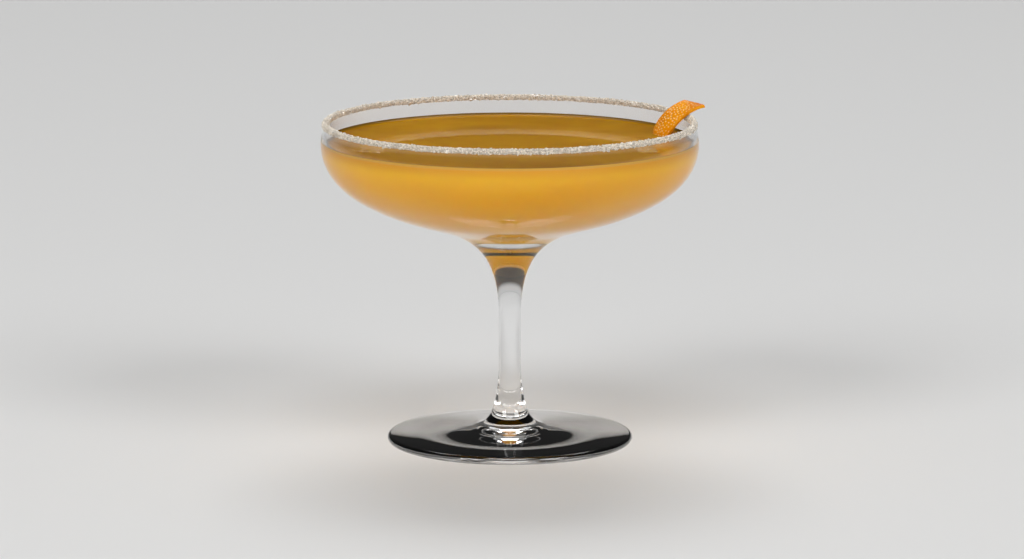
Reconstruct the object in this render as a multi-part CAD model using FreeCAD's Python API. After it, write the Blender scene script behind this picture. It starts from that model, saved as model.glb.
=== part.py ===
"""Sidecar cocktail served up in its own coupe: stemmed glass, drink, sugared lip and a strip of orange peel.

Millimetres, +Z up. The origin is the centre of the foot's underside, on the surface the glass stands on.
The peel crosses the lip near +X. Glass, drink and sugar are figures of revolution about Z apart from the
uneven crust of the sugar and the places where the peel passes.
"""
import FreeCAD, Part
import math
import os
import random
from FreeCAD import Vector

# ---- coupe glass: foot
FOOT_RADIUS = 33.9
FOOT_EDGE = 1.05             # radius of the rounded edge of the foot
FOOT_SLOPE = 5.5             # degrees, fall of the foot's top towards its edge
CONTACT_INNER = 26.5         # inner radius of the flat ring the glass stands on
FOOT_HOLLOW = 0.9            # height of the shallow hollow under the foot
FLARE_RADIUS = 10.4          # where the foot's top turns up into the stem

# ---- coupe glass: stem and bowl
HEIGHT = 89.1                # top of the glass over the table
WAIST_RADIUS = 3.05          # thinnest place of the drawn stem
WAIST_HEIGHT = 27.7
BOWL_DEPTH = 29.5            # from the lip down to where the bowl's underside turns into the stem
NECK_RADIUS = 19.5           # outer radius there
NECK_SLOPE = 16.4            # degrees, slope of the bowl's underside there
BOWL_RADIUS = 52.0           # outer radius at the widest place
WIDEST_DEPTH = 5.8           # from the lip down to that place
WALL = 1.25                  # blown wall of the bowl
BASE_THICKENING = 1.1        # how far the floor inside rises over the wall's thickness towards the axis
LIP_TURN_IN = 0.7            # how far the lip closes in from the widest place
LIP_BAND = 0.25              # straight band under the rounded lip

# The curves between those places pass through these. Each is (share of the way in radius, share in height,
# steepness there as a multiple of the straight way's).
FLARE_CURVE = ((0.463, 0.057, 0.263), (0.898, 0.360, 1.781))
STEM_CURVE = ((0.040, 0.486, 2.925), (0.350, 0.818, 0.516))
BOWL_CURVE = ((0.551, 0.257, 0.639), (0.886, 0.582, 1.634))

# ---- drink
FREEBOARD = 5.6              # from the lip down to the drink's flat surface
MENISCUS_RISE = 0.8          # how far the drink climbs the wall
MENISCUS_REACH = 2.0         # how far from the wall the climb starts

# ---- sugar crust on the lip
CRUST_OUTSIDE = 0.3          # sugar on the outer face, top and inner face of the lip
CRUST_TOP = 0.5
CRUST_INSIDE = 0.8
CRUST_UNEVEN = 0.13          # largest swelling or hollow of the crust
CRUST_ARCH = 0.5             # how far the control point over the middle of the crust stands over the others
CRUST_LUMPS = 48             # sections round the lip

# ---- strip of orange peel
PEEL_WIDTH = 6.5
PEEL_THICKNESS = 1.2
PEEL_ARCH = 0.22             # height of the gentle arch of the zest across the strip
PEEL_AZIMUTH = 12.0          # degrees, place of the lip that the strip is laid over
PEEL_DIP = 4.2               # length of the straight end under the drink's surface
PEEL_ROLL_START = 49.0       # degrees, turn of the strip about its own length at the drink
PEEL_ROLL_END = 8.4
PEEL_STATIONS = 9
# poles of the strip's centre line from the drink to its tip, each (outwards, along, above) the top of the lip
PEEL_ROUTE = ((-7.6, 3.4, -5.5), (-5.3, 1.9, 0.0), (-0.35, 2.2, 3.85), (5.3, 0.5, 3.75))
PEEL_CUT_BACK = 0.66         # share of the route where the slanting end cut starts at the back edge
PEEL_CUT_TIP = 0.97          # and where it meets the front edge, at the pointed tip

AXIS_POINT = Vector(0, 0, 0)
AXIS = Vector(0, 0, 1)
FULL_TURN = 360.0
REACH = 4 * BOWL_RADIUS      # larger than anything in the model, for cutting bodies
LIP_RADIUS = BOWL_RADIUS - LIP_TURN_IN
LIP_ROUND = WALL / 2
LIP_START = HEIGHT - LIP_ROUND
LEVEL = HEIGHT - FREEBOARD


def at(radius, height):
    """A point of the revolved outline."""
    return Vector(radius, 0, height)


def line(start, end):
    return Part.LineSegment(start, end).toShape()


def arc(start, middle, end):
    return Part.Arc(start, middle, end).toShape()


def direction(slope):
    """Unit step of the outline at a slope in degrees, 0 pointing outwards and 90 up."""
    angle = math.radians(slope)
    return Vector(math.cos(angle), 0, math.sin(angle))


def tangent_arc(start, step, end):
    """The arc that leaves its start along a unit step and ends at a point."""
    span = end - start
    normal = Vector(-step.z, 0, step.x)
    radius = span.dot(span) / (2 * normal.dot(span))
    centre = start + normal * radius
    middle = centre + ((start - centre) + (end - centre)).normalize() * abs(radius)
    return arc(start, middle, end)


def biarc(start, start_slope, end, end_slope):
    """Two arcs that join smoothly and take the outline from one place and slope to another."""
    leave, arrive = direction(start_slope), direction(end_slope)
    span = end - start
    both = span.dot(leave + arrive)
    bend = 2 * (1 - leave.dot(arrive))
    if bend < 1e-9:
        reach = span.dot(span) / (2 * both)
    else:
        reach = (math.sqrt(both * both + bend * span.dot(span)) - both) / bend
    joint = (start + leave * reach + end - arrive * reach) * 0.5
    second = tangent_arc(end, arrive * -1, joint)
    return [tangent_arc(start, leave, joint), second]


def curved(start, start_slope, between, end, end_slope, offset=0.0):
    """Smooth outline from start to end through the places between, moved to its left by an offset."""
    span = end - start
    knots = [(start, start_slope)]
    for across, up, steepness in between:
        slope = math.degrees(math.atan2(span.z * steepness, span.x))
        knots.append((start + at(across * span.x, up * span.z), slope))
    knots.append((end, end_slope))
    moved = [(place + direction(slope + 90) * offset, slope) for place, slope in knots]
    edges = []
    for (place, slope), (next_place, next_slope) in zip(moved[:-1], moved[1:]):
        edges += biarc(place, slope, next_place, next_slope)
    return edges


def outward(solid):
    """The same solid with its faces turned outwards."""
    if solid.Volume < 0:
        solid.reverse()
    return solid


def revolve(edges):
    return outward(Part.Face(Part.Wire(edges)).revolve(AXIS_POINT, AXIS, FULL_TURN))


def neck():
    return at(NECK_RADIUS, HEIGHT - BOWL_DEPTH)


def foot_outline():
    """Underside, rounded edge and sloping top of the foot, from the axis out and back to the flare."""
    slope = math.radians(FOOT_SLOPE)
    centre = at(FOOT_RADIUS - FOOT_EDGE, FOOT_EDGE)
    edge_top = centre + Vector(math.sin(slope), 0, math.cos(slope)) * FOOT_EDGE
    flare = at(FLARE_RADIUS, edge_top.z + (edge_top.x - FLARE_RADIUS) * math.tan(slope))
    hollow = tangent_arc(at(0, FOOT_HOLLOW), direction(0), at(CONTACT_INNER, 0))
    contact = line(at(CONTACT_INNER, 0), at(centre.x, 0))
    edge = arc(at(centre.x, 0), at(FOOT_RADIUS, FOOT_EDGE), edge_top)
    return [hollow, contact, edge, line(edge_top, flare)], flare


def stem_outline(flare):
    """The drawn stem: flares out of the foot, narrows to its waist and opens into the bowl's underside."""
    waist = at(WAIST_RADIUS, WAIST_HEIGHT)
    return (curved(flare, 180 - FOOT_SLOPE, FLARE_CURVE, waist, 90)
            + curved(waist, 90, STEM_CURVE, neck(), NECK_SLOPE))


def wall_outline(offset):
    """One face of the bowl's wall from the neck up to the lip, offset inwards from the outer face."""
    widest = at(BOWL_RADIUS, HEIGHT - WIDEST_DEPTH)
    band_foot = at(LIP_RADIUS, LIP_START - LIP_BAND)
    band = line(band_foot - at(offset, 0), at(LIP_RADIUS - offset, LIP_START))
    return (curved(neck(), NECK_SLOPE, BOWL_CURVE, widest, 90, offset)
            + curved(widest, 90, (), band_foot, 90, offset) + [band])


def bowl_floor():
    """The floor inside the bowl, level at the axis and tangent to the inner face of the wall at the neck."""
    rim = neck() + direction(NECK_SLOPE + 90) * WALL
    even = rim.x * math.tan(math.radians(NECK_SLOPE) / 2)
    bottom = at(0, rim.z - even + BASE_THICKENING)
    return biarc(bottom, 0, rim, NECK_SLOPE), bottom


def coupe_glass():
    """Foot, stem and bowl, one solid of revolution."""
    foot, flare = foot_outline()
    floor, bottom = bowl_floor()
    lip = arc(at(LIP_RADIUS, LIP_START), at(LIP_RADIUS - LIP_ROUND, HEIGHT), at(LIP_RADIUS - WALL, LIP_START))
    outside = stem_outline(flare) + wall_outline(0)
    inside = wall_outline(WALL)[::-1] + floor[::-1]
    return revolve(foot + outside + [lip] + inside + [line(bottom, at(0, FOOT_HOLLOW))])


def bowl_cavity():
    """The space inside the bowl up to the lip."""
    floor, bottom = bowl_floor()
    centre = at(0, LIP_START)
    across = line(at(LIP_RADIUS - WALL, LIP_START), centre)
    return revolve(floor + wall_outline(WALL) + [across, line(centre, bottom)])


def liquid_space():
    """Everything under the drink's surface, with the meniscus where the surface meets the wall."""
    wall = BOWL_RADIUS - WALL
    start = at(wall - MENISCUS_REACH, LEVEL)
    top = at(wall, LEVEL + MENISCUS_RISE)
    outside = at(REACH, top.z)
    below = at(REACH, 0)
    return revolve([line(at(0, LEVEL), start), tangent_arc(start, direction(0), top), line(top, outside),
                    line(outside, below), line(below, at(0, 0)), line(at(0, 0), at(0, LEVEL))])


def drink(peel):
    return single(bowl_cavity().common(liquid_space()).cut(peel))


def crust_section(turn, grains):
    """Section of the crust at an angle round the lip: an uneven arch over a level underside."""
    outwards = Vector(math.cos(turn), math.sin(turn), 0)
    foot, top = LIP_START - LIP_BAND, HEIGHT + CRUST_TOP
    inner, outer = LIP_RADIUS - WALL - CRUST_INSIDE, LIP_RADIUS + CRUST_OUTSIDE
    middle = (inner + outer) / 2

    def uneven():
        return grains.uniform(-1, 1) * CRUST_UNEVEN

    def place(radius, height):
        return outwards * radius + AXIS * height

    poles = [place(inner + uneven(), foot), place(inner + uneven(), top + uneven()),
             place(middle + uneven(), top + CRUST_ARCH + uneven()), place(outer + uneven(), top + uneven()),
             place(outer + uneven(), foot)]
    arch = Part.BSplineCurve()
    arch.buildFromPolesMultsKnots(poles, [4, 1, 4], [0, 1, 2], False, 3)
    return Part.Wire([arch.toShape(), line(poles[-1], poles[0])])


def sugar_rim(glass, peel):
    """The crust: a closed uneven ring over the lip, lofted in two halves and dented by the peel."""
    grains = random.Random(11)
    pitch = 2 * math.pi / CRUST_LUMPS
    sections = [crust_section((lump + 0.5) * pitch, grains) for lump in range(CRUST_LUMPS)]
    sections.append(sections[0])
    middle = CRUST_LUMPS // 2
    halves = [Part.makeLoft(sections[:middle + 1], True), Part.makeLoft(sections[middle:], True)]
    ring = halves[0].cut(glass).fuse(halves[1].cut(glass))
    return single(ring.cut(peel))


def lip_frame():
    """Top of the lip where the peel crosses it, and the directions outwards and along the lip."""
    angle = math.radians(PEEL_AZIMUTH)
    outwards = Vector(math.cos(angle), math.sin(angle), 0)
    onwards = Vector(-math.sin(angle), math.cos(angle), 0)
    return outwards * (LIP_RADIUS - LIP_ROUND) + AXIS * HEIGHT, outwards, onwards


def peel_route():
    origin, outwards, onwards = lip_frame()
    curve = Part.BezierCurve()
    curve.setPoles([origin + outwards * out + onwards * on + AXIS * up for out, on, up in PEEL_ROUTE])
    return curve


def peel_axes(curve, share):
    """Centre, direction of travel, direction across to the front edge, and outward zest normal at a share."""
    travel = curve.tangent(share)[0].normalize()
    level = travel.cross(AXIS).normalize()
    roll = math.radians(PEEL_ROLL_START + (PEEL_ROLL_END - PEEL_ROLL_START) * share)
    across = level * math.cos(roll) - level.cross(travel) * math.sin(roll)
    return curve.value(share), travel, across, across.cross(travel)


def peel_section(centre, across, normal):
    """Closed section of the strip: arched zest above, arched pith below and two cut sides."""
    side = across * (PEEL_WIDTH / 2)
    up = normal * (PEEL_THICKNESS / 2)
    rise = normal * PEEL_ARCH
    back_top, front_top = centre - side + up - rise, centre + side + up - rise
    back_low, front_low = centre - side - up, centre + side - up
    return Part.Wire([arc(back_top, centre + up, front_top), line(front_top, front_low),
                      arc(front_low, centre - up + rise, back_low), line(back_low, back_top)])


def orange_twist():
    """A strip of peel that leaves the drink, leans over the sugared lip and ends in a slanting cut."""
    curve = peel_route()
    centre, travel, across, normal = peel_axes(curve, 0)
    dip = PEEL_DIP + (centre.z - LEVEL) / travel.z
    sections = [peel_section(centre - travel * dip, across, normal)]
    for station in range(PEEL_STATIONS):
        centre, travel, across, normal = peel_axes(curve, station / (PEEL_STATIONS - 1))
        sections.append(peel_section(centre, across, normal))
    strip = Part.makeLoft(sections, True)
    return single(strip.cut(end_trim(curve)))


def end_trim(curve):
    """The block that the slanting end cut takes away, from the back edge to the tip."""
    back_centre, _, back_across, back_normal = peel_axes(curve, PEEL_CUT_BACK)
    tip_centre, travel, tip_across, tip_normal = peel_axes(curve, PEEL_CUT_TIP)
    back = back_centre - back_across * (PEEL_WIDTH / 2)
    tip = tip_centre + tip_across * (PEEL_WIDTH / 2)
    cut = (tip - back).normalize()
    normal = (back_normal + tip_normal).normalize()
    beyond = normal.cross(cut).normalize()
    if beyond.dot(travel) < 0:
        beyond = beyond * -1
    block = PEEL_WIDTH * 2
    corner = back - cut * block - normal * block
    far = tip + cut * block - normal * block
    face = Part.Face(Part.makePolygon([corner, far, far + beyond * block, corner + beyond * block, corner]))
    return face.extrude(normal * 2 * block)


def single(shape):
    """The one solid that a cut leaves."""
    solids = sorted(shape.Solids, key=lambda solid: solid.Volume)
    return solids[-1]


def main():
    os.makedirs("parts", exist_ok=True)
    glass = coupe_glass()
    peel = orange_twist()
    sugar = sugar_rim(glass, peel)
    nodes = {"coupe_glass": glass, "orange_twist": peel, "drink": drink(peel), "sugar_rim": sugar}
    for name, solid in nodes.items():
        solid.exportStep(f"parts/{name}.step")
        print(name, "volume", round(solid.Volume, 1), "valid", solid.isValid(), "solids", len(solid.Solids))


main()
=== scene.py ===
"""Looks of the sidecar cocktail: glass, drink, sugared lip and strip of orange peel.

Metres, +Z up. Places and outlines are read from the frame's nodes. The sizes below are of what the
frame leaves out, such as crystals and pores.
"""
import math
import random

import bpy
import bmesh
import numpy as np
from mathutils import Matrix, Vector, noise
from mathutils.bvhtree import BVHTree
from mathutils.kdtree import KDTree

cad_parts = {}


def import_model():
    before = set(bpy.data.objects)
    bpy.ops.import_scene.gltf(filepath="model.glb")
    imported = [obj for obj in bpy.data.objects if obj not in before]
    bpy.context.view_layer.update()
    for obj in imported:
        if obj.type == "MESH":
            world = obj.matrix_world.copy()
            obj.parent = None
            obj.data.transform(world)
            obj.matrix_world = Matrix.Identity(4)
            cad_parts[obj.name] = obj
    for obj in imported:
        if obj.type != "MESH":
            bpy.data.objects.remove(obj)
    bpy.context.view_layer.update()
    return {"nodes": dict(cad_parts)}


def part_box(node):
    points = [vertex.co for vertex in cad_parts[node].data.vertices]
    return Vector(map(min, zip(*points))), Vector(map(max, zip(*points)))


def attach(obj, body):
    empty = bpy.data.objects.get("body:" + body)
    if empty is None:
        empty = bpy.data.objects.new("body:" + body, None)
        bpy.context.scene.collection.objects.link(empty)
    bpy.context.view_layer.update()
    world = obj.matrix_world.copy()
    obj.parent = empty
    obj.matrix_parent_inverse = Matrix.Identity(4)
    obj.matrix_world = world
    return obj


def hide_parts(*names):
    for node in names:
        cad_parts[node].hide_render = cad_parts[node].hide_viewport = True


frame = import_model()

MM = 0.001

# ---- view: the direction and distance that the object is seen from
CAMERA_PLACE = (0.0006, -1.39584, 0.29853)
CAMERA_TILT = 79.712          # degrees from looking straight down
CAMERA_LENS = 180.68          # millimetres, like the sensor
CAMERA_SENSOR = 36.0
CAMERA_REACH = 100            # metres

# ---- stage
HORIZON = (0.5, 0.5, 0.5)
OVERHEAD = (0.06, 0.06, 0.06)
SKY_FADE = (0.02, 0.12)       # Z of the directions between which the horizon becomes the overhead
PALE_FLOOR = (0.74, 0.74, 0.735)
FLOOR_HALF = 30.0             # half the floor's side
FLOOR_DROP = 0.01 * MM        # from the foot down to the floor
FLOOR_FADE = (1.2, 2.8)       # distances from the axis between which the floor becomes the horizon
LAMP_AIM = (0.0, 0.0, 0.06)
LAMPS = {                     # place, width, height and watts
    "softbox_left": ((-1.8, -2.2, 1.9), 1.3, 1.3, 43),
    "softbox_right": ((2.0, -1.9, 1.8), 1.3, 1.3, 40),
    "softbox_front": ((-0.1, -1.3, 2.5), 1.3, 1.3, 20),
    "softbox_back": ((0.0, 2.2, 2.8), 2.0, 1.4, 50),
}

# ---- mottled looks: a pair of colours goes from the one to the other between these values of a noise
MOTTLE = (0.3, 0.7)

# ---- revolved pieces
SEGMENTS = 256                # round a full turn
FINEST_TURN = 3.0             # degrees, largest turn of an outline at one point after refining
CORNER = 25.0                 # degrees, a turn that stays sharp
ON_SEAM = 0.0002 * MM         # distance from the seam's half plane that still counts as on it
SEAM_DIGITS = 7               # decimals of a metre that points of a seam keep
ON_AXIS = 0.001 * MM          # radius that still counts as on the axis
WELD = 0.002 * MM             # vertices of a node nearer to each other than this are one

# ---- glass and drink
GLASS_IOR = 1.52
GLASS_WAVE = 0.02 * MM        # height of the faint waves in the glass
DRINK_IOR = 1.352
DRINK_SCATTER = (1.0, 0.85, 0.3)      # reach of red, green and blue light in the drink, of the scale
INTO_WALL = 0.2 * MM          # how far the drink reaches into the glass
THIN_EDGE = 3.0 * MM          # depth under the level over which light starts to scatter in the drink
WALL_CLIMB = 0.2 * MM         # rise over which the drink against the glass takes the painted meniscus highlight
SURFACE_CLIMB = 0.5 * MM      # the same for the free surface's painted shade where it rises against the glass
SURFACE_CLEAR = 0.1 * MM      # rise over which the free surface stops scattering light
AMBER = ((0.74, 0.38, 0.001), (0.79, 0.42, 0.003))
AMBER_AT_LEVEL = (0.71, 0.31, 0.004)
# painted highlight: the pale pinkish line where the drink rises against the glass
MENISCUS_HIGHLIGHT = (0.65, 0.34, 0.05)
# painted shade: the free surface's amber, darker than the body's, though it is the same drink
SHADED_AMBER = ((0.36, 0.155, 0.001), (0.48, 0.22, 0.003))
# painted shade: a dark rim where the free surface rises against the glass
MENISCUS_SHADE = (0.17, 0.09, 0.012)

# ---- sugar
CRYSTALS = 16000
CRYSTAL_SIZE = 0.28 * MM
CRYSTAL_SPREAD = 0.3          # of the natural logarithm of the size
CRYSTAL_STRETCH = (0.65, 1.35)        # least and greatest length of a side, of the size
CRYSTAL_SKEW = 0.12           # how far a corner moves each way, of the side
CRYSTAL_SHARE = 0.22          # how far out crystals sit, of the way from the glass to the crust's outline
CORE_SHARE = 0.1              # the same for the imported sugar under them
CRYSTAL_SEED = 5
TOUCHING = 0.05 * MM          # the crust is hidden where the glass or the peel is nearer than this
SUGAR = (0.92, 0.82, 0.69)
PACKED_SUGAR = (0.74, 0.63, 0.5)
DIM_CRYSTAL = 0.62            # brightness of the darkest crystals, of the colour
CRYSTAL_SHADES = (0.25, 0.65)         # values of the cells between which the dim colour becomes the full one

# ---- peel
PEEL_VOXEL = 0.13 * MM
PEEL_SOFTENING = 3            # times that the remeshed peel is smoothed
PORE_PITCH = 0.78 * MM        # least distance between two pores
PORE_RADIUS = 0.4 * MM
PORE_VARIATION = 0.6          # of the radius, at most
PORE_FLOOR = 0.2              # part of the radius that is at full depth
PORE_DEPTH = 0.2 * MM
PORE_FADE = 0.5 * MM          # width of the border beside a cut where the pores fade out
PORE_SEED = 3
SMOOTH_TIP = 3.0 * MM         # on both sides of the crust's edge, where the pores fade out and the tip's painted shade comes in
SWELL_PITCH = 2.6 * MM        # of the zest's gentle swells
SWELL_HEIGHT = 0.05 * MM
FIBRE_HEIGHT = 0.03 * MM
ZEST = ((0.80, 0.255, 0.001), (0.90, 0.34, 0.003))
# painted shade: a deeper orange at the tip, against the lamps' sheen there
SHADED_ZEST_TIP = (0.62, 0.16, 0.001)
# pale pores: partly the oil glands' own lighter tone, partly painted glints
PALE_PORE_AND_GLINT = (1.0, 0.62, 0.2)
PITH = ((0.83, 0.55, 0.22), (0.90, 0.70, 0.38))
CUT = ((0.92, 0.33, 0.006), (0.97, 0.42, 0.02))


# ---------------------------------------------------------------- outlines and meshes

def seam(node):
    """The outline of a revolved node: (radius, height) points from its lower end to its upper one."""
    mesh = frame["nodes"][node].data
    on_seam = {v.index: (round(v.co.x, SEAM_DIGITS), round(v.co.z, SEAM_DIGITS)) for v in mesh.vertices
               if abs(v.co.y) < ON_SEAM and v.co.x > -ON_SEAM}
    beside = {}
    for edge in mesh.edges:
        a, b = (on_seam.get(index) for index in edge.vertices)
        if a and b and a != b:
            beside.setdefault(a, set()).add(b)
            beside.setdefault(b, set()).add(a)
    ends = [point for point, others in beside.items() if len(others) == 1]
    chain = [min(ends, key=lambda point: point[1])]
    onward = beside[chain[0]]
    while onward:
        chain.extend(onward)
        onward = beside[chain[-1]] - {chain[-2]}
    return [Vector(point) for point in chain]


def turn_at(points, i):
    """Degrees by which an outline turns at its point i."""
    if i <= 0 or i >= len(points) - 1:
        return 0.0
    return math.degrees((points[i] - points[i - 1]).angle(points[i + 1] - points[i]))


def tangent(before, at, after):
    """Unit direction of the circle through three points, at the middle one."""
    first, second = at - before, after - at
    return (first * (second.length / first.length) + second * (first.length / second.length)).normalized()


def hermite(a, leave, b, arrive, t):
    """The place at a part t of the curve that leaves a and arrives at b in the given directions."""
    t2, t3 = t * t, t * t * t
    from_a = a * (2 * t3 - 3 * t2 + 1) + leave * (t3 - 2 * t2 + t)
    return from_a + b * (3 * t2 - 2 * t3) + arrive * (t3 - t2)


def refined(points):
    """The outline with points added along smooth curves through its own, corners kept."""
    lowest = min(point.y for point in points)
    turns = [turn_at(points, i) for i in range(len(points))]
    out = [points[0]]
    for i in range(len(points) - 1):
        a, b = points[i], points[i + 1]
        smooth_a = i > 0 and turns[i] < CORNER
        smooth_b = i + 2 < len(points) and turns[i + 1] < CORNER
        span = b - a
        before = points[i - 1] if smooth_a else a - span
        after = points[i + 2] if smooth_b else b + span
        leave = tangent(before, a, b) * span.length
        arrive = tangent(a, b, after) * span.length
        bend = max(turns[i] if smooth_a else 0, turns[i + 1] if smooth_b else 0)
        steps = max(1, math.ceil(bend / FINEST_TURN))
        for step in range(1, steps + 1):
            place = hermite(a, leave, b, arrive, step / steps)
            place.y = max(place.y, lowest)
            out.append(place)
    return out


def pushed_out(wall, distance):
    """An outline moved outwards, its first point kept on the axis and its last at its height."""
    out = []
    for i, point in enumerate(wall):
        along = wall[min(i + 1, len(wall) - 1)] - wall[max(i - 1, 0)]
        outwards = Vector((along.y, -along.x)).normalized()
        out.append(point + outwards * distance)
    out[0].x = 0.0
    out[-1].y = wall[-1].y
    return out


def linked(name, data):
    """A new object of the scene."""
    made = bpy.data.objects.new(name, data)
    bpy.context.scene.collection.objects.link(made)
    return made


def mesh_piece(name, verts, faces, materials, smooth=True):
    """A mesh object from its vertices and faces."""
    mesh = bpy.data.meshes.new(name)
    mesh.from_pydata([tuple(v) for v in verts], [], [tuple(f) for f in faces])
    mesh.polygons.foreach_set("use_smooth", [smooth] * len(mesh.polygons))
    for material in materials:
        mesh.materials.append(material)
    mesh.update()
    return linked(name, mesh)


def spin(name, outline, materials, material_of=lambda i: 0):
    """A closed piece of revolution from an outline that starts and ends on the axis."""
    turns = np.arange(SEGMENTS) * (2 * math.pi / SEGMENTS)
    ring = np.stack([np.cos(turns), np.sin(turns)], axis=1)
    verts, rows = [], []
    for radius, height in outline:
        start = len(verts)
        if radius < ON_AXIS:
            verts.append((0.0, 0.0, height))
            rows.append([start] * SEGMENTS)
        else:
            verts.extend((radius * c, radius * s, height) for c, s in ring)
            rows.append(list(range(start, start + SEGMENTS)))
    faces, slots = [], []
    for i, (low, high) in enumerate(zip(rows, rows[1:])):
        for k in range(SEGMENTS):
            n = (k + 1) % SEGMENTS
            faces.append(list(dict.fromkeys([low[k], low[n], high[n], high[k]])))
            slots.append(material_of(i))
    piece = mesh_piece(name, verts, faces, materials)
    piece.data.polygons.foreach_set("material_index", slots)
    piece.data.set_sharp_from_angle(angle=math.radians(CORNER))
    return piece


# ---------------------------------------------------------------- shader nodes

def new_material(name):
    """A material with an empty node tree but its output."""
    material = bpy.data.materials.new(name)
    material.use_nodes = True
    tree = material.node_tree
    tree.nodes.clear()
    return material, tree, tree.nodes.new("ShaderNodeOutputMaterial")


def principled(tree, **values):
    """A Principled shader with some inputs set, with _ for the spaces in their names."""
    shader = tree.nodes.new("ShaderNodeBsdfPrincipled")
    for key, value in values.items():
        shader.inputs[key.replace("_", " ")].default_value = value
    return shader


def texture(tree, kind, scale, **values):
    """A texture node read at the object's own coordinates, with the scale in turns for each metre."""
    place = tree.nodes.new("ShaderNodeTexCoord")
    node = tree.nodes.new(kind)
    node.inputs["Scale"].default_value = scale
    for key, value in values.items():
        node.inputs[key].default_value = value
    tree.links.new(place.outputs["Object"], node.inputs["Vector"])
    return node


def ramp(tree, source, between, colours):
    """A colour that goes from one to another while a value goes between two others."""
    node = tree.nodes.new("ShaderNodeValToRGB")
    node.color_ramp.interpolation = "EASE"
    for element, position, colour in zip(node.color_ramp.elements, between, colours):
        element.position = position
        element.color = (*colour, 1.0)
    tree.links.new(source, node.inputs["Fac"])
    return node.outputs["Color"]


def smooth_range(tree, source, between, low, high):
    """A value that goes from low to high while another goes between two others."""
    node = tree.nodes.new("ShaderNodeMapRange")
    node.interpolation_type = "SMOOTHSTEP"
    node.inputs["From Min"].default_value, node.inputs["From Max"].default_value = between
    node.inputs["To Min"].default_value, node.inputs["To Max"].default_value = low, high
    tree.links.new(source, node.inputs["Value"])
    return node.outputs["Result"]


def z_of(tree, kind):
    """The Z of a kind of texture coordinate."""
    place = tree.nodes.new("ShaderNodeTexCoord")
    split = tree.nodes.new("ShaderNodeSeparateXYZ")
    tree.links.new(place.outputs[kind], split.inputs["Vector"])
    return split.outputs["Z"]


def by_height(tree, between, below, above):
    """A value that goes from one to another between two heights of the object."""
    return smooth_range(tree, z_of(tree, "Object"), between, below, above)


def bump(tree, source, distance, strength):
    """The normal of a relief that is as high as the distance where the source is 1."""
    node = tree.nodes.new("ShaderNodeBump")
    node.inputs["Distance"].default_value = distance
    node.inputs["Strength"].default_value = strength
    tree.links.new(source, node.inputs["Height"])
    return node.outputs["Normal"]


def computed(tree, operation, first, second):
    """The outcome of a Math node."""
    node = tree.nodes.new("ShaderNodeMath")
    node.operation = operation
    tree.links.new(first, node.inputs[0])
    tree.links.new(second, node.inputs[1])
    return node.outputs["Value"]


def on_path(tree, *kinds):
    """1 for rays of the named kinds, 0 for others."""
    path = tree.nodes.new("ShaderNodeLightPath")
    first, *others = (path.outputs[f"Is {kind} Ray"] for kind in kinds)
    for other in others:
        first = computed(tree, "MAXIMUM", first, other)
    return first


def mixed(tree, factor, first, second):
    """Shader first where the factor is 0, second where it is 1."""
    mix = tree.nodes.new("ShaderNodeMixShader")
    tree.links.new(factor, mix.inputs["Fac"])
    tree.links.new(first, mix.inputs[1])
    tree.links.new(second, mix.inputs[2])
    return mix.outputs["Shader"]


def attribute(tree, name):
    """A value that the mesh holds at its vertices."""
    node = tree.nodes.new("ShaderNodeAttribute")
    node.attribute_name = name
    return node.outputs["Fac"]


def blend(tree, factor, first, second):
    """Colour first where the factor is 0, second where it is 1; each is a socket or a colour."""
    node = tree.nodes.new("ShaderNodeMix")
    node.data_type = "RGBA"
    colour_inputs = [socket for socket in node.inputs if socket.type == "RGBA"]
    for value, socket in zip((first, second), colour_inputs):
        if isinstance(value, tuple):
            socket.default_value = (*value, 1.0)
        else:
            tree.links.new(value, socket)
    tree.links.new(factor, node.inputs["Factor"])
    return next(socket for socket in node.outputs if socket.type == "RGBA")


# ---------------------------------------------------------------- materials

def glass_material():
    """Clear soda-lime glass that lets the lamps' light through to what it holds."""
    material, tree, output = new_material("clear_glass")
    shader = principled(tree, Base_Color=(1.0, 1.0, 1.0, 1.0), Roughness=0.0, IOR=GLASS_IOR,
                        Specular_IOR_Level=0.15, Transmission_Weight=1.0)
    faint = texture(tree, "ShaderNodeTexNoise", scale=45.0, Detail=1.0)
    waves = bump(tree, faint.outputs["Fac"], distance=GLASS_WAVE, strength=0.3)
    tree.links.new(waves, shader.inputs["Normal"])
    clear = tree.nodes.new("ShaderNodeBsdfTransparent")
    lit = on_path(tree, "Shadow", "Diffuse")
    tree.links.new(mixed(tree, lit, shader.outputs["BSDF"], clear.outputs["BSDF"]), output.inputs["Surface"])
    return material


def drink_body_material(level):
    """Cloudy amber drink where it touches the glass, which mirrors what meets it too flatly to get out, with
    a painted highlight on the meniscus.
    """
    material, tree, output = new_material("drink_body")
    shader = principled(tree, Roughness=0.5, Specular_IOR_Level=0.0,
                        Subsurface_Radius=DRINK_SCATTER, Subsurface_Scale=0.02)
    thin = (level - THIN_EDGE, level)
    tree.links.new(by_height(tree, thin, 1.0, 0.0), shader.inputs["Subsurface Weight"])
    haze = texture(tree, "ShaderNodeTexNoise", scale=22.0, Detail=2.0)
    cloudy = ramp(tree, haze.outputs["Fac"], MOTTLE, AMBER)
    edge = blend(tree, by_height(tree, thin, 0.0, 1.0), cloudy, AMBER_AT_LEVEL)
    # painted highlight on the meniscus just above the level
    climb = by_height(tree, (level, level + WALL_CLIMB), 0.0, 1.0)
    tree.links.new(blend(tree, climb, edge, MENISCUS_HIGHLIGHT), shader.inputs["Base Color"])
    mirror = tree.nodes.new("ShaderNodeBsdfGlossy")
    mirror.inputs["Roughness"].default_value = 0.0
    meeting = tree.nodes.new("ShaderNodeFresnel")
    meeting.inputs["IOR"].default_value = DRINK_IOR / GLASS_IOR
    tree.links.new(mixed(tree, meeting.outputs["Fac"], shader.outputs["BSDF"], mirror.outputs["BSDF"]),
                   output.inputs["Surface"])
    return material


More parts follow.
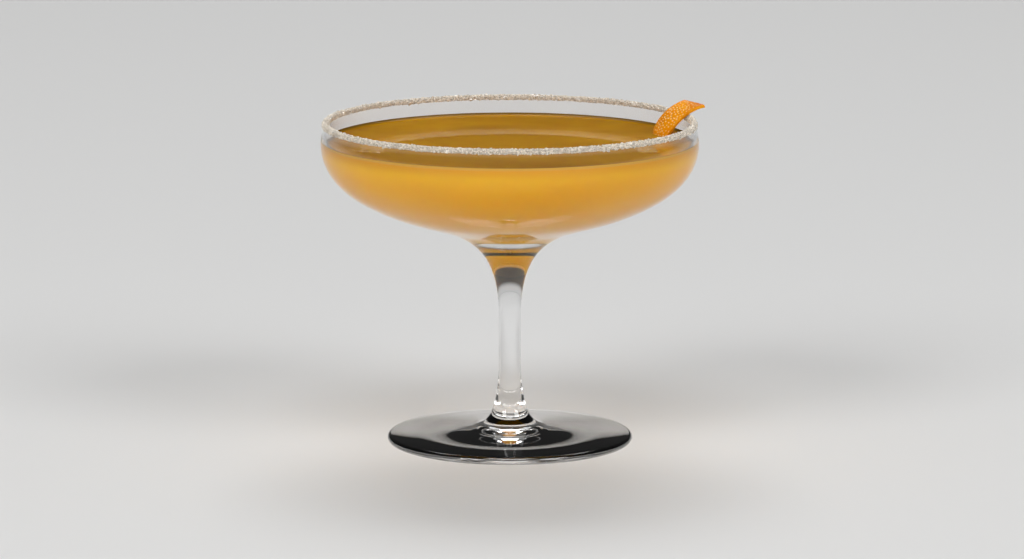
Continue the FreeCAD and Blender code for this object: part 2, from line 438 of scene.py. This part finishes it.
def drink_surface_material(level):
    """The drink's free surface, its amber darker than the body's and its rim at the glass darker still, both
    as painted shade.
    """
    material, tree, output = new_material("drink_surface")
    shader = principled(tree, Roughness=0.02, IOR=DRINK_IOR, Specular_IOR_Level=0.05,
                        Subsurface_Radius=DRINK_SCATTER, Subsurface_Scale=0.015)
    scattering = by_height(tree, (level, level + SURFACE_CLEAR), 1.0, 0.0)
    tree.links.new(scattering, shader.inputs["Subsurface Weight"])
    haze = texture(tree, "ShaderNodeTexNoise", scale=26.0, Detail=3.0, Distortion=0.6)
    # painted shade: the same drink as the body, coloured darker
    shaded_surface = ramp(tree, haze.outputs["Fac"], MOTTLE, SHADED_AMBER)
    # painted shade on the free surface's rim at the glass
    climb = by_height(tree, (level, level + SURFACE_CLIMB), 0.0, 1.0)
    tree.links.new(blend(tree, climb, shaded_surface, MENISCUS_SHADE), shader.inputs["Base Color"])
    tree.links.new(shader.outputs["BSDF"], output.inputs["Surface"])
    return material


def sugar_material(name, colour, translucency):
    """Wet-looking pale sugar, each crystal a little different."""
    material, tree, output = new_material(name)
    shader = principled(tree, Roughness=0.12, IOR=1.54, Subsurface_Weight=translucency,
                        Subsurface_Radius=(1.0, 0.9, 0.75), Subsurface_Scale=0.0004)
    cells = texture(tree, "ShaderNodeTexVoronoi", scale=1 / CRYSTAL_SIZE)
    dim = tuple(DIM_CRYSTAL * c for c in colour)
    shade = ramp(tree, cells.outputs["Color"], CRYSTAL_SHADES, (dim, colour))
    tree.links.new(shade, shader.inputs["Base Color"])
    tree.links.new(shader.outputs["BSDF"], output.inputs["Surface"])
    return material


def peel_material():
    """Waxy orange zest with pale, oily pores, their paleness partly painted glints, a deeper tip as painted
    shade, smooth orange cut sides and pale pith.
    """
    material, tree, output = new_material("orange_peel")
    shader = principled(tree, Roughness=0.35, IOR=1.45, Specular_IOR_Level=0.06, Coat_Roughness=0.12,
                        Subsurface_Weight=0.3, Subsurface_Radius=(1.0, 0.4, 0.08), Subsurface_Scale=0.0006)
    tree.links.new(attribute(tree, "pore"), shader.inputs["Coat Weight"])
    blotches = texture(tree, "ShaderNodeTexNoise", scale=260.0, Detail=3.0)
    zest = ramp(tree, blotches.outputs["Fac"], MOTTLE, ZEST)
    # painted shade: the tip's deeper orange
    zest = blend(tree, attribute(tree, "tip"), zest, SHADED_ZEST_TIP)
    # the pores' pale tone: partly their own, partly painted glints
    zest = blend(tree, attribute(tree, "pore"), zest, PALE_PORE_AND_GLINT)
    fibres = texture(tree, "ShaderNodeTexNoise", scale=900.0, Detail=4.0)
    pith = ramp(tree, fibres.outputs["Fac"], MOTTLE, PITH)
    cut = ramp(tree, fibres.outputs["Fac"], MOTTLE, CUT)
    sided = blend(tree, attribute(tree, "cut"), zest, cut)
    colour = blend(tree, attribute(tree, "pith"), sided, pith)
    tree.links.new(colour, shader.inputs["Base Color"])
    grain = bump(tree, fibres.outputs["Fac"], distance=FIBRE_HEIGHT, strength=0.5)
    tree.links.new(grain, shader.inputs["Normal"])
    tree.links.new(shader.outputs["BSDF"], output.inputs["Surface"])
    return material


# ---------------------------------------------------------------- glass and drink

def glass_piece():
    """The whole glass, from the frame's outline, finer and smoother."""
    piece = spin("coupe", refined(seam("coupe_glass")), [glass_material()])
    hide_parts("coupe_glass")
    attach(piece, "root")


def drink_piece():
    """The drink: its outline against the glass moved just into the wall, its free surface as in the frame."""
    outline = seam("drink")
    rim = max(range(len(outline)), key=lambda i: outline[i].y)
    wall = pushed_out(refined(outline[:rim + 1]), INTO_WALL)
    surface = refined(outline[rim:])
    level = surface[-1].y
    centre = Vector((0.0, level))
    piece = spin("sidecar", wall + surface + [centre],
                 [drink_body_material(level), drink_surface_material(level)],
                 lambda i: 0 if i < len(wall) - 1 else 1)
    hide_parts("drink")
    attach(piece, "root")


# ---------------------------------------------------------------- sugar

def faces_of(node):
    """A search tree of a frame node's faces."""
    mesh = frame["nodes"][node].data
    return BVHTree.FromPolygons([v.co for v in mesh.vertices], [p.vertices for p in mesh.polygons])


def towards(glass, place, share):
    """A place moved to a share of its distance from the glass."""
    nearest = glass.find_nearest(place)[0]
    return nearest + (place - nearest) * share


def exposed(middles):
    """Whether each face of the crust is on its outside, not against the glass or the peel."""
    others = [faces_of(node) for node in ("coupe_glass", "orange_twist")]
    return np.array([all(other.find_nearest(Vector(middle), TOUCHING)[0] is None for other in others)
                     for middle in middles])


def crust_places(grains):
    """A place for each crystal, spread evenly over the crust, a share of the way out to its outline."""
    mesh = frame["nodes"]["sugar_rim"].data
    mesh.calc_loop_triangles()
    co = np.array([v.co for v in mesh.vertices])
    tris = np.array([t.vertices for t in mesh.loop_triangles])
    a, b, c = co[tris[:, 0]], co[tris[:, 1]], co[tris[:, 2]]
    area = np.linalg.norm(np.cross(b - a, c - a), axis=1) / 2
    weights = area * exposed((a + b + c) / 3)
    pick = grains.choice(len(tris), size=CRYSTALS, p=weights / weights.sum())
    u, v = grains.random(CRYSTALS), grains.random(CRYSTALS)
    flip = u + v > 1
    u[flip], v[flip] = 1 - u[flip], 1 - v[flip]
    places = a[pick] + (b - a)[pick] * u[:, None] + (c - a)[pick] * v[:, None]
    glass = faces_of("coupe_glass")
    return np.array([towards(glass, Vector(place), CRYSTAL_SHARE) for place in places])


def random_rotation(grains):
    """A rotation matrix, any turn as likely as any other."""
    q = grains.normal(size=4)
    w, x, y, z = q / np.linalg.norm(q)
    return np.array([(1 - 2 * (y * y + z * z), 2 * (x * y - z * w), 2 * (x * z + y * w)),
                     (2 * (x * y + z * w), 1 - 2 * (x * x + z * z), 2 * (y * z - x * w)),
                     (2 * (x * z - y * w), 2 * (y * z + x * w), 1 - 2 * (x * x + y * y))])


def sugar_crystals():
    """Separate crystals over the crust: small skewed blocks, turned at random."""
    grains = np.random.default_rng(CRYSTAL_SEED)
    places = crust_places(grains)
    corners = np.array([(x, y, z) for x in (-1, 1) for y in (-1, 1) for z in (-1, 1)]) / 2
    sides = np.array([(0, 1, 3, 2), (4, 6, 7, 5), (0, 4, 5, 1), (2, 3, 7, 6), (0, 2, 6, 4), (1, 5, 7, 3)])
    sizes = CRYSTAL_SIZE * np.exp(grains.normal(0, CRYSTAL_SPREAD, CRYSTALS))
    shapes = grains.uniform(*CRYSTAL_STRETCH, (CRYSTALS, 3))
    skews = grains.uniform(-CRYSTAL_SKEW, CRYSTAL_SKEW, (CRYSTALS, len(corners), 3))
    verts = []
    for place, size, shape, skew in zip(places, sizes, shapes, skews):
        block = (corners + skew) * shape * size
        verts.append(block @ random_rotation(grains) + place)
    firsts = np.arange(CRYSTALS) * len(corners)
    faces = (sides[None] + firsts[:, None, None]).reshape(-1, 4)
    piece = mesh_piece("sugar_crystals", np.concatenate(verts), faces.tolist(),
                       [sugar_material("sugar_crystal", SUGAR, translucency=0.35)], smooth=False)
    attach(piece, "root")


def sugar_core():
    """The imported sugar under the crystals: the crust's outline drawn in towards the glass."""
    crust = bmesh.new()
    crust.from_mesh(frame["nodes"]["sugar_rim"].data)
    bmesh.ops.remove_doubles(crust, verts=crust.verts, dist=WELD)
    glass = faces_of("coupe_glass")
    for v in crust.verts:
        v.co = towards(glass, v.co, CORE_SHARE)
    mesh = bpy.data.meshes.new("sugar_core")
    crust.to_mesh(mesh)
    crust.free()
    mesh.materials.append(sugar_material("sugar_packed", PACKED_SUGAR, translucency=0.3))
    piece = linked("sugar_core", mesh)
    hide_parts("sugar_rim")
    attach(piece, "root")


# ---------------------------------------------------------------- peel

def smooth_groups(mesh):
    """The faces of a mesh in groups that sharp edges part."""
    groups, done = [], set()
    for face in mesh.faces:
        if face in done:
            continue
        group, queue = [], [face]
        done.add(face)
        while queue:
            current = queue.pop()
            group.append(current)
            beside = [near for edge in current.edges for near in edge.link_faces]
            for other in beside:
                if other not in done and current.normal.angle(other.normal, 0) < math.radians(CORNER):
                    done.add(other)
                    queue.append(other)
        groups.append(group)
    return groups


def area_of(faces):
    """The area of some faces."""
    return sum(face.calc_area() for face in faces)


def rise_of(faces):
    """How far up some faces look: the Z of their normals, each by its face's area."""
    return sum((face.normal * face.calc_area() for face in faces), Vector()).z


def peel_sides():
    """The peel node's faces by side: {"zest": tree, "pith": tree, "cut": tree}."""
    mesh = bmesh.new()
    mesh.from_mesh(frame["nodes"]["orange_twist"].data)
    bmesh.ops.remove_doubles(mesh, verts=mesh.verts, dist=WELD)
    mesh.normal_update()
    mesh.verts.index_update()
    first, second, *others = sorted(smooth_groups(mesh), key=area_of, reverse=True)
    zest, pith = sorted((first, second), key=rise_of, reverse=True)
    corners = [v.co.copy() for v in mesh.verts]
    trees = {}
    for name, faces in (("zest", zest), ("pith", pith), ("cut", sum(others, []))):
        trees[name] = BVHTree.FromPolygons(corners, [[v.index for v in face.verts] for face in faces])
    mesh.free()
    return trees


def distance_to(tree, place):
    """How far a place is from the nearest face of a search tree."""
    return tree.find_nearest(place)[3]


def smoothstep(low, high, x):
    """0 up to low, 1 from high on, and smooth between."""
    t = min(1.0, max(0.0, (x - low) / (high - low)))
    return t * t * (3 - 2 * t)


def pore_places(places, zest):
    """Places on the zest no nearer to each other than the pores' pitch, as a search tree."""
    order = list(places)
    random.Random(PORE_SEED).shuffle(order)
    cells, kept = {}, []
    for place in order:
        if distance_to(zest, place) > PEEL_VOXEL / 2:
            continue
        cell = tuple(math.floor(x / PORE_PITCH) for x in place)
        beside = [other for dx in (-1, 0, 1) for dy in (-1, 0, 1) for dz in (-1, 0, 1)
                  for other in cells.get((cell[0] + dx, cell[1] + dy, cell[2] + dz), ())]
        if all((place - other).length > PORE_PITCH for other in beside):
            cells.setdefault(cell, []).append(place)
            kept.append(place)
    tree = KDTree(len(kept))
    for i, place in enumerate(kept):
        tree.insert(place, i)
    tree.balance()
    return tree


def fine_peel():
    """The frame's peel as a mesh, remeshed finely and softened."""
    source = linked("peel_source", frame["nodes"]["orange_twist"].data.copy())
    weld = source.modifiers.new("weld", "WELD")
    weld.merge_threshold = WELD
    remesh = source.modifiers.new("remesh", "REMESH")
    remesh.mode = "VOXEL"
    remesh.voxel_size = PEEL_VOXEL
    soften = source.modifiers.new("soften", "SMOOTH")
    soften.iterations = PEEL_SOFTENING
    mesh = bpy.data.meshes.new_from_object(source.evaluated_get(bpy.context.evaluated_depsgraph_get()))
    bpy.data.objects.remove(source)
    mesh.name = "peel"
    return mesh


def press_pores(mesh):
    """Pores and swells in the zest, with values for the pores, tip, cut sides and pith at each vertex."""
    sides = peel_sides()
    marks = []
    places = [v.co.copy() for v in mesh.vertices]
    normals = [v.normal.copy() for v in mesh.vertices]
    pores = pore_places(places, sides["zest"])
    crust_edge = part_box("sugar_rim")[1].x
    for v, place, normal in zip(mesh.vertices, places, normals):
        zest, pith, cut = (distance_to(sides[name], place) for name in ("zest", "pith", "cut"))
        near = min(zest, pith, cut)
        inside = smoothstep(0, PORE_FADE, min(cut, pith)) if zest == near else 0.0
        tip = smoothstep(crust_edge - SMOOTH_TIP, crust_edge + SMOOTH_TIP, math.hypot(place.x, place.y))
        middle, _, away = pores.find(place)
        radius = PORE_RADIUS * (1 + PORE_VARIATION * noise.noise(middle / PORE_RADIUS))
        pit = (1 - smoothstep(PORE_FLOOR, 1.0, away / radius)) * inside * (1 - tip)
        swell = noise.noise(place / SWELL_PITCH) * SWELL_HEIGHT
        v.co = place + normal * (swell * inside - pit * PORE_DEPTH)
        marks.append((pit, tip, float(cut == near), float(pith == near)))
    for name, values in zip(("pore", "tip", "cut", "pith"), zip(*marks)):
        mesh.attributes.new(name, "FLOAT", "POINT").data.foreach_set("value", values)


def peel_piece():
    """The strip of peel, finer than the frame's solid, with pores pressed into its zest."""
    mesh = fine_peel()
    press_pores(mesh)
    mesh.polygons.foreach_set("use_smooth", [True] * len(mesh.polygons))
    mesh.materials.clear()
    mesh.materials.append(peel_material())
    piece = linked("peel_strip", mesh)
    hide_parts("orange_twist")
    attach(piece, "root")


# ---------------------------------------------------------------- stage

def world():
    """A pale horizon that fades to a dim studio overhead."""
    scene_world = bpy.data.worlds.new("studio")
    bpy.context.scene.world = scene_world
    scene_world.use_nodes = True
    tree = scene_world.node_tree
    sky = ramp(tree, z_of(tree, "Generated"), SKY_FADE, (HORIZON, OVERHEAD))
    tree.links.new(sky, tree.nodes["Background"].inputs["Color"])


def floor_material():
    """A pale floor that fades into the horizon far from the object, for rays that see it."""
    material, tree, output = new_material("pale_floor")
    shader = principled(tree, Base_Color=(*PALE_FLOOR, 1.0), Roughness=0.6, Specular_IOR_Level=0.2)
    haze = tree.nodes.new("ShaderNodeEmission")
    haze.inputs["Color"].default_value = (*HORIZON, 1.0)
    place = tree.nodes.new("ShaderNodeTexCoord")
    distance = tree.nodes.new("ShaderNodeVectorMath")
    distance.operation = "LENGTH"
    tree.links.new(place.outputs["Object"], distance.inputs[0])
    fade = smooth_range(tree, distance.outputs["Value"], FLOOR_FADE, 0.0, 1.0)
    far = computed(tree, "MULTIPLY", fade, on_path(tree, "Camera", "Glossy", "Transmission"))
    tree.links.new(mixed(tree, far, shader.outputs["BSDF"], haze.outputs["Emission"]),
                   output.inputs["Surface"])
    return material


def floor():
    """A flat square under the foot."""
    corners = [(x * FLOOR_HALF, y * FLOOR_HALF, -FLOOR_DROP) for x, y in ((-1, -1), (1, -1), (1, 1), (-1, 1))]
    piece = mesh_piece("floor", corners, [(0, 1, 2, 3)], [floor_material()])


def lights():
    """Soft rectangular lamps that all face the object."""
    for name, (place, width, height, power) in LAMPS.items():
        data = bpy.data.lights.new(name, "AREA")
        data.shape = "RECTANGLE"
        data.size, data.size_y = width, height
        data.energy = power
        lamp = linked(name, data)
        lamp.location = place
        lamp.rotation_euler = (Vector(LAMP_AIM) - Vector(place)).to_track_quat("-Z", "Y").to_euler()


def camera():
    """The view of the object."""
    data = bpy.data.cameras.new("camera")
    data.lens = CAMERA_LENS
    data.sensor_width = CAMERA_SENSOR
    data.clip_end = CAMERA_REACH
    eye = linked("camera", data)
    eye.location = CAMERA_PLACE
    eye.rotation_euler = (math.radians(CAMERA_TILT), 0, 0)
    bpy.context.scene.camera = eye


def main():
    """The stage, then the object's pieces."""
    bpy.context.scene.view_settings.view_transform = "Standard"
    camera()
    world()
    floor()
    lights()
    glass_piece()
    drink_piece()
    sugar_core()
    sugar_crystals()
    peel_piece()


main()
